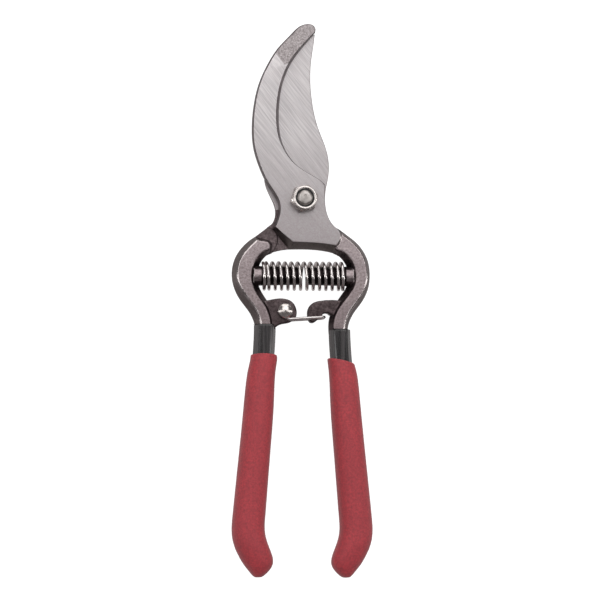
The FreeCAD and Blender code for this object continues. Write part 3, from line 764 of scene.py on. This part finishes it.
def rounded(points, radii, steps=8):
    """Straight runs through the points with an arc of the given radius at each inner point."""
    path = [points[0]]
    for before, corner, after, radius in zip(points, points[1:], points[2:], radii):
        first = (before - corner).normalized()
        second = (after - corner).normalized()
        half = first.angle(second) / 2
        middle = corner + (first + second).normalized() * (radius / math.sin(half))
        start = (corner + first * (radius / math.tan(half)) - middle).normalized()
        end = (corner + second * (radius / math.tan(half)) - middle).normalized()
        for i in range(steps + 1):
            path.append(middle + start.slerp(end, i / steps) * radius)
    return path + [points[-1]]


def eye(z, backwards):
    """Points round the rivet, ending where the arm leaves."""
    points = []
    for i in range(EYE_STEPS + 1):
        angle = LEAVING - EYE_TURN * (1 - i / EYE_STEPS)
        points.append(Vector((rivet.x + EYE_RADIUS * math.cos(angle),
                              rivet.y + EYE_RADIUS * math.sin(angle), z)))
    return points[::-1] if backwards else points


top_eye = eye(arm_top, False)
low_eye = eye(arm_low, True)
corners = [at_height(bail_bend, arm_top), at_height(bail_end, arm_top),
           at_height(bail_end, arm_low), at_height(bail_bend, arm_low)]
radii = [BEND_RADIUS, NOSE_RADIUS, NOSE_RADIUS, BEND_RADIUS]
arms = rounded([top_eye[-1], *corners, low_eye[0]], radii)
bail = wire_along("latch_bail", top_eye + arms[1:-1] + low_eye, BAIL_RADIUS)
hand_over(bail, "latch_wire", [latch_wire_steel])

# %% [markdown]
# The rivet is turned in one profile: a low polished dome above, a shank, and a small clinched foot below.

# %% Latch rivet
SHANK_RADIUS = 1.5
DOME_RADIUS = 3.0
dome_seat = arm_top / MM + BAIL_RADIUS / MM + 0.05
foot_seat = arm_low / MM - BAIL_RADIUS / MM - 0.05
dome_top = rivet_high.z / MM
foot_low = rivet_low.z / MM
RIM_HEIGHT = 0.25
rise = dome_top - dome_seat - RIM_HEIGHT
ball_radius = (DOME_RADIUS ** 2 + rise ** 2) / (2 * rise)
widest = math.degrees(math.asin(DOME_RADIUS / ball_radius))
dome_profile = arc_profile(0, dome_top - ball_radius, ball_radius, 90, 90 - widest, steps=14)
profile = dome_profile + [
    (DOME_RADIUS - 0.15, dome_seat), (SHANK_RADIUS, dome_seat), (SHANK_RADIUS, foot_seat),
    (2.5, foot_seat), (2.65, foot_seat - 0.2), (2.4, foot_low + 0.35), (1.9, foot_low), (0, foot_low)]
rivet_piece = turned("latch_rivet_finished", profile, (rivet.x, rivet.y))
hand_over(rivet_piece, "latch_rivet", [nickel_plated_fastener])

# %% [markdown]
# ## Black sleeves
# The thin first dip follows the tang, so the tang's facets still show, but every edge is softened by the
# vinyl that ran round it.

# %% Black sleeves
for side in ("left", "right"):
    sleeve = refined_copy(side + "_undersleeve", side + "_undersleeve_dipped", 0.7, segments=4)
    hand_over(sleeve, side + "_undersleeve", [black_dip])

# %% [markdown]
# ## Red grips
# A foamed dip has no edges at all. The copy is remeshed into small even cells, which melts the rim, and
# smoothed, most of all at the nub. Vinyl creeps a little as it sets, so the left rim is arched and the right
# rim is slanted: vertices near the rim are moved along Y, less and less further down. The pebbled skin is
# real relief: a cloud texture moves the surface by a few hundredths of a millimetre.

# %% Red grips
GRIP_CELL = 0.36 * MM
RIM_REACH = 7.0 * MM
NUB_LINE = -146.5 * MM
PEBBLE_SIZE = 1.0 * MM
PEBBLE_DEPTH = 0.10 * MM
RIM_SLANT = {"left": 0.0, "right": -0.22}
RIM_ARCH = {"left": 0.5 * MM, "right": 0.2 * MM}
pebble = bpy.data.textures.new("grip_pebble", "CLOUDS")
pebble.noise_scale = PEBBLE_SIZE
pebble.noise_depth = 1


def shape_rim(grip, side):
    """Slants and arches the rim, fading out over RIM_REACH."""
    top = max(v.co.y for v in grip.data.vertices)
    near_rim = [v for v in grip.data.vertices if v.co.y > top - RIM_REACH]
    left = min(v.co.x for v in near_rim)
    right_end = max(v.co.x for v in near_rim)
    middle, half = (left + right_end) / 2, (right_end - left) / 2
    for vertex in near_rim:
        share = 1 - (top - vertex.co.y) / RIM_REACH
        across = (vertex.co.x - middle) / half
        vertex.co.y += share * share * (RIM_SLANT[side] * (vertex.co.x - middle)
                                        + RIM_ARCH[side] * (0.6 - across * across))


for side in ("left", "right"):
    grip = bpy.data.objects.new(side + "_grip_dipped", nodes[side + "_grip"].data.copy())
    grip.data.materials.clear()
    bpy.context.scene.collection.objects.link(grip)
    edit_all(grip, (bpy.ops.mesh.remove_doubles, {"threshold": MERGE_MM * MM}))
    apply_modifier(grip, "REMESH", mode="VOXEL", voxel_size=GRIP_CELL)
    apply_modifier(grip, "SMOOTH", factor=0.5, iterations=8)
    nub = grip.vertex_groups.new(name="nub")
    nub.add([v.index for v in grip.data.vertices if v.co.y < NUB_LINE], 1.0, "REPLACE")
    apply_modifier(grip, "SMOOTH", factor=0.5, iterations=24, vertex_group="nub")
    shape_rim(grip, side)
    apply_modifier(grip, "DISPLACE", texture=pebble, strength=PEBBLE_DEPTH, mid_level=0.8,
                   texture_coords="LOCAL")
    make_active(grip)
    bpy.ops.object.shade_smooth()
    hand_over(grip, side + "_grip", [red_dip])

# %% [markdown]
# ## Table and surroundings
# The tool lies on a plain white table. The table glows a little, as a light table does, so only a faint
# shadow is left under the tool. Black cards round a product keep a table's light off its sides, so the
# table is hidden from reflections. Cameras see a pale room; steel sees a dark one, paler below.

# %% Table and surroundings
TABLE_SIZE = 6.0
bpy.ops.mesh.primitive_plane_add(size=TABLE_SIZE, location=(0, 0, cad_low.z - 0.05 * MM))
table = bpy.context.object
table.name = "white_table"
table.visible_glossy = False
table.visible_diffuse = False
table_white, tree = start_material("white_table")
glow = add_node(tree, "ShaderNodeBsdfPrincipled", {
    "Base Color": linear("#909090"), "Roughness": 0.9, "Specular IOR Level": 0.0,
    "Emission Color": linear("#ffffff"), "Emission Strength": 0.95,
})
end_material(tree, glow)
table.data.materials.append(table_white)

world = bpy.data.worlds.new("studio")
bpy.context.scene.world = world
world.use_nodes = True
tree = world.node_tree
tree.nodes.clear()
rays = add_node(tree, "ShaderNodeLightPath")
direction = add_node(tree, "ShaderNodeTexCoord")
parts = add_node(tree, "ShaderNodeSeparateXYZ", links={"Vector": direction.outputs["Generated"]})
below = remapped(tree, parts.outputs["Z"], 0.05, -0.35, 0.0, 1.0)
for_steel = add_node(tree, "ShaderNodeBackground", {"Strength": 1.0}, {
    "Color": mixed(tree, below, "#676364", "#b4b0b0")})
for_matt = add_node(tree, "ShaderNodeBackground", {"Color": linear("#ffffff"), "Strength": 0.55})
for_camera = add_node(tree, "ShaderNodeBackground", {"Color": linear("#ffffff"), "Strength": 1.0})
steel_or_matt = add_node(tree, "ShaderNodeMixShader", links={
    0: rays.outputs["Is Glossy Ray"], 1: for_matt.outputs[0], 2: for_steel.outputs[0]})
seen = add_node(tree, "ShaderNodeMixShader", links={
    0: rays.outputs["Is Camera Ray"], 1: steel_or_matt.outputs[0], 2: for_camera.outputs[0]})
add_node(tree, "ShaderNodeOutputWorld", links={"Surface": seen.outputs[0]})
bpy.context.scene.view_settings.view_transform = "Standard"
print("table and studio set")
